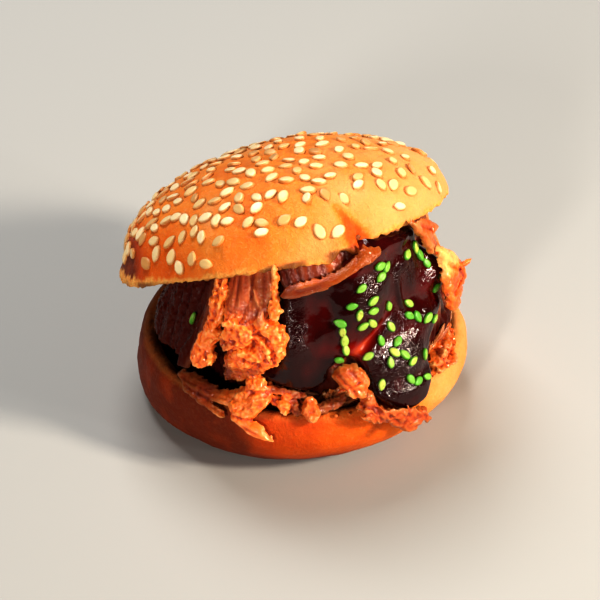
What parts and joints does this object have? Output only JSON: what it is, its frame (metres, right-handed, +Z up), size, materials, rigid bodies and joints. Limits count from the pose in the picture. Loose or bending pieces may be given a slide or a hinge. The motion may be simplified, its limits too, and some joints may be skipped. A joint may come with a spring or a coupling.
{
  "type": "pulled beef slider",
  "caption": "Small round sesame bun, open in front like a mouth, filled with pulled beef under thick dark barbecue sauce with green sesame seeds.",
  "frame": {"origin": "on the flat underside of the lower bun, below the centre of its rim", "axes": "+Z up, -Y out of the open front, +X to the side with the sauce"},
  "size_m": [0.0744, 0.0789, 0.0588],
  "materials": {
    "baked_crust": "matte",
    "pulled_beef": "satin",
    "barbecue_sauce": "gloss"
  },
  "bodies": {
    "root": {"bun_heel": "baked_crust", "bun_crown": "baked_crust", "beef_heap": "pulled_beef", "beef_front_clump": "pulled_beef", "beef_left_strand": "pulled_beef", "beef_long_strip": "pulled_beef", "beef_low_left_shred": "pulled_beef", "beef_low_clump": "pulled_beef", "beef_rim_crumb": "pulled_beef", "beef_under_sauce": "pulled_beef", "beef_low_right_clump": "pulled_beef", "beef_right_clump": "pulled_beef", "beef_top_right_clump": "pulled_beef", "beef_top_tip": "pulled_beef", "barbecue_sauce": "barbecue_sauce"}
  },
  "joints": []
}
